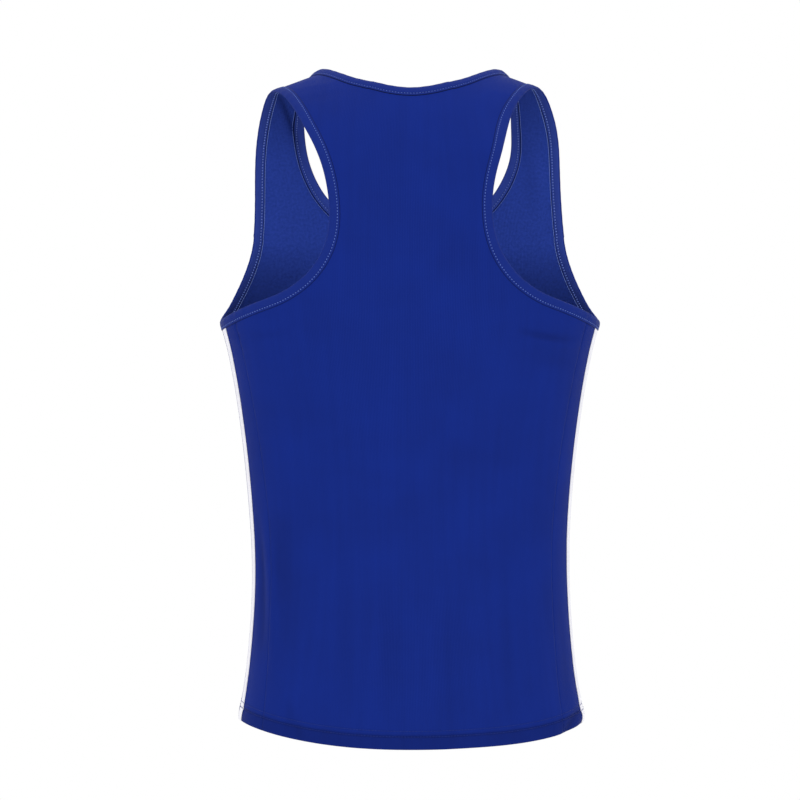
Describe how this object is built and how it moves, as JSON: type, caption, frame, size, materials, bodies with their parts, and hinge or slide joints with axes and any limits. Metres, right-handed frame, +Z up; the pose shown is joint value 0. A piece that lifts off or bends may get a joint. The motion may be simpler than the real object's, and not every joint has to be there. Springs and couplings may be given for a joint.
{
  "type": "racerback boxing top",
  "caption": "Sleeveless racerback sports top of thin knit, filled out with nobody in it: open neck, armholes and hem, folded bindings and a plain white band down each side.",
  "frame": {"origin": "midway between the two shoulders, at shoulder height, where a wearer's shoulders hold the top", "axes": "+Z up, +Y towards the chest (the pictured side, the back, faces -Y), +X the wearer's right"},
  "size_m": [0.3944, 0.2271, 0.6915],
  "materials": {
    "knit": "fine smooth polyester jersey, royal blue, matt with a faint sheen",
    "binding": "folded polyester knit strip, royal blue",
    "tape": "white woven tape"
  },
  "bodies": {
    "root": {"back_panel": "knit", "front_panel": "knit", "neck_binding": "binding", "armhole_binding_left": "binding", "armhole_binding_right": "binding", "side_band_left": "tape", "side_band_right": "tape"}
  },
  "joints": []
}
